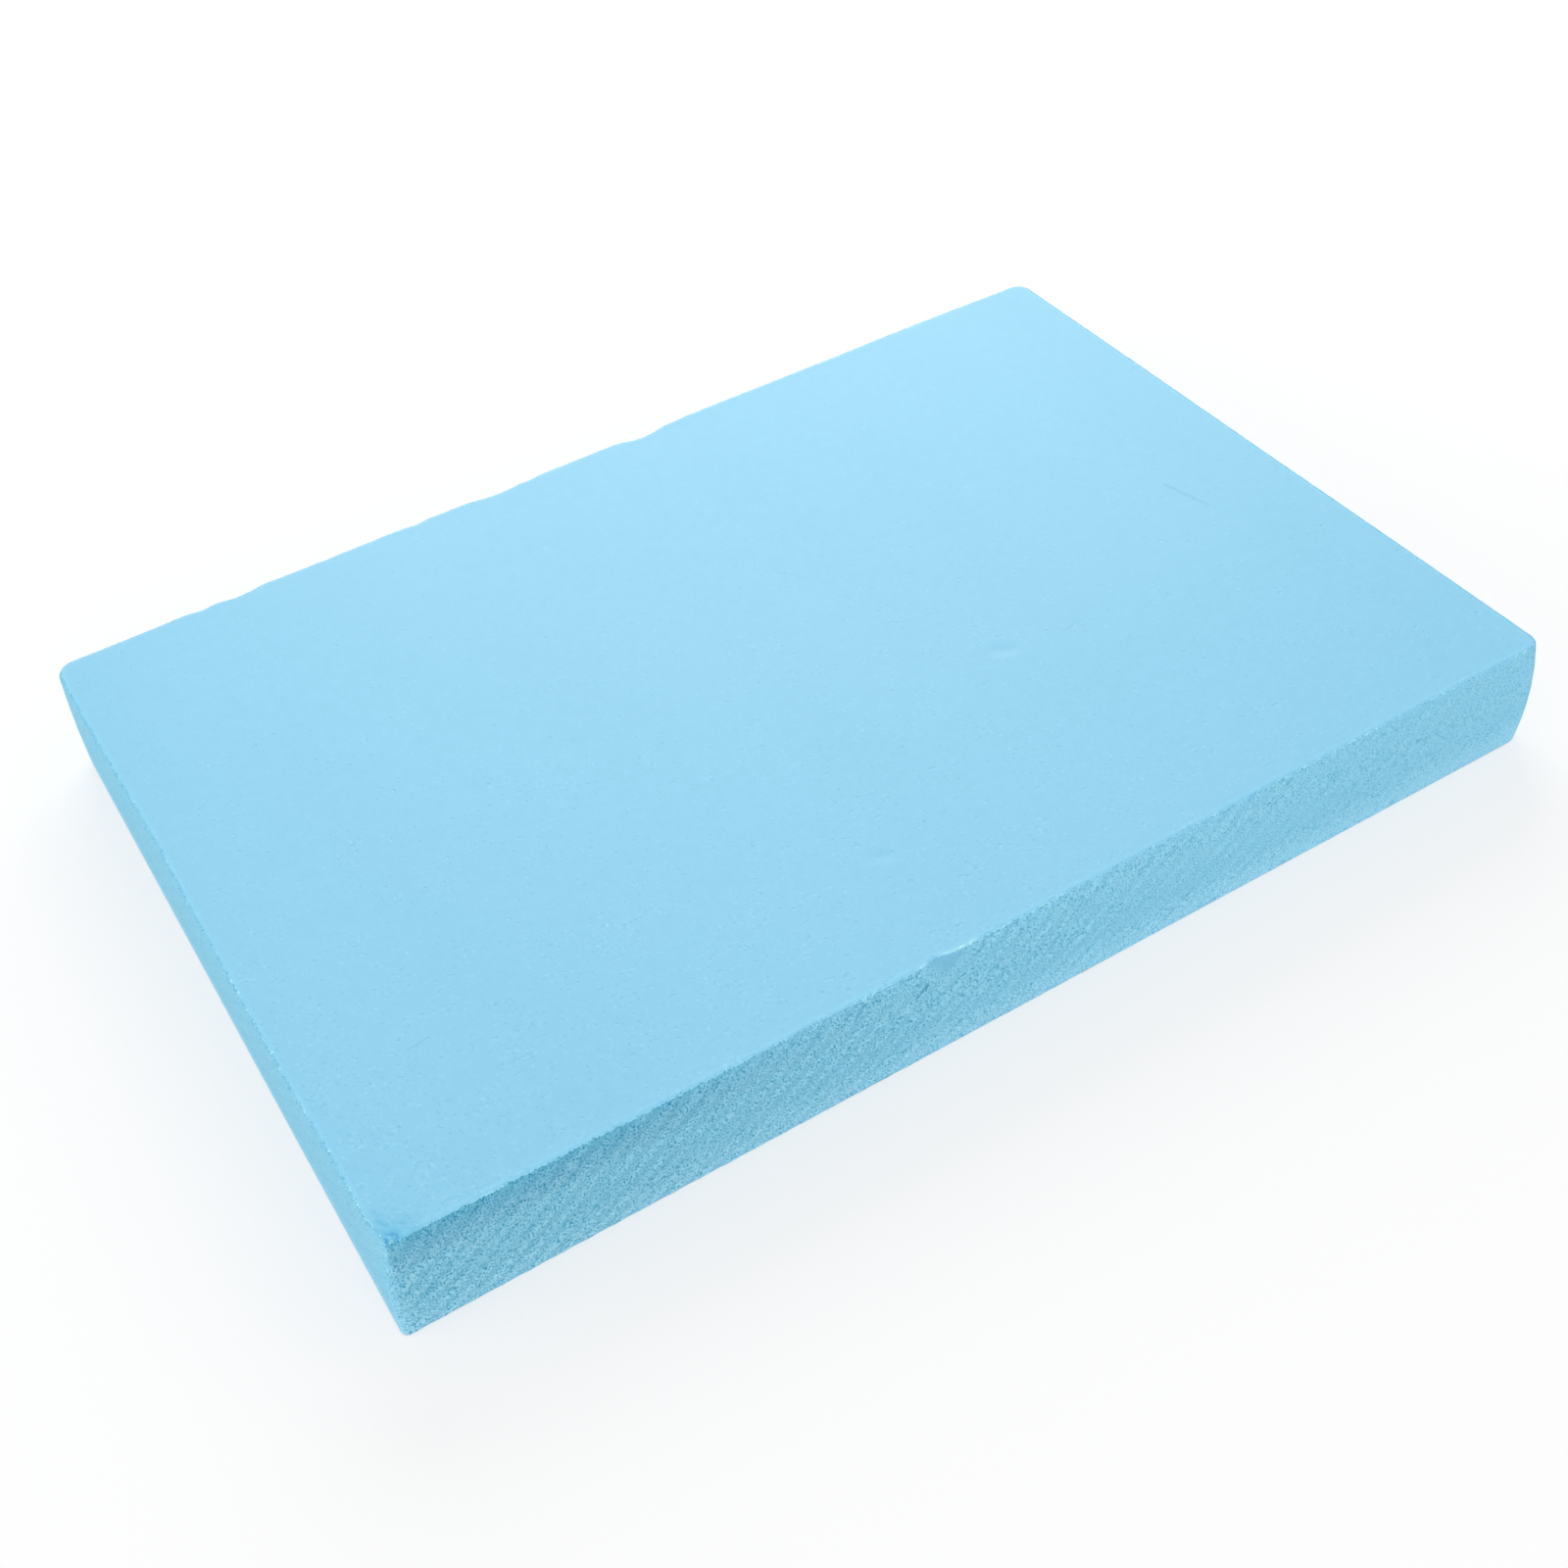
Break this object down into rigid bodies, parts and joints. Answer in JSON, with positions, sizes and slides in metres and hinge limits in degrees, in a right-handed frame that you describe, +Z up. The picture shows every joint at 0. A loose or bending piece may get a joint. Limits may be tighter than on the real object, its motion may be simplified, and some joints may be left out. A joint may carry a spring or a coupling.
{
  "type": "foam block",
  "caption": "Flat rectangular slab of rigid fine-celled blue foam with smooth faces, hand-cut sides and softly rounded corners, for carving, cushioning or use as a work pad.",
  "frame": {"origin": "middle of the underside", "axes": "+X along the length towards the right end, +Y across the width towards the back, +Z up from the underside to the top skin"},
  "size_m": [0.3006, 0.2084, 0.03],
  "materials": {
    "foam": "matte closed-cell foam, smooth skin on the two large faces and fine open cells on the cut sides"
  },
  "bodies": {
    "root": {"foam_block": "foam"}
  },
  "joints": []
}
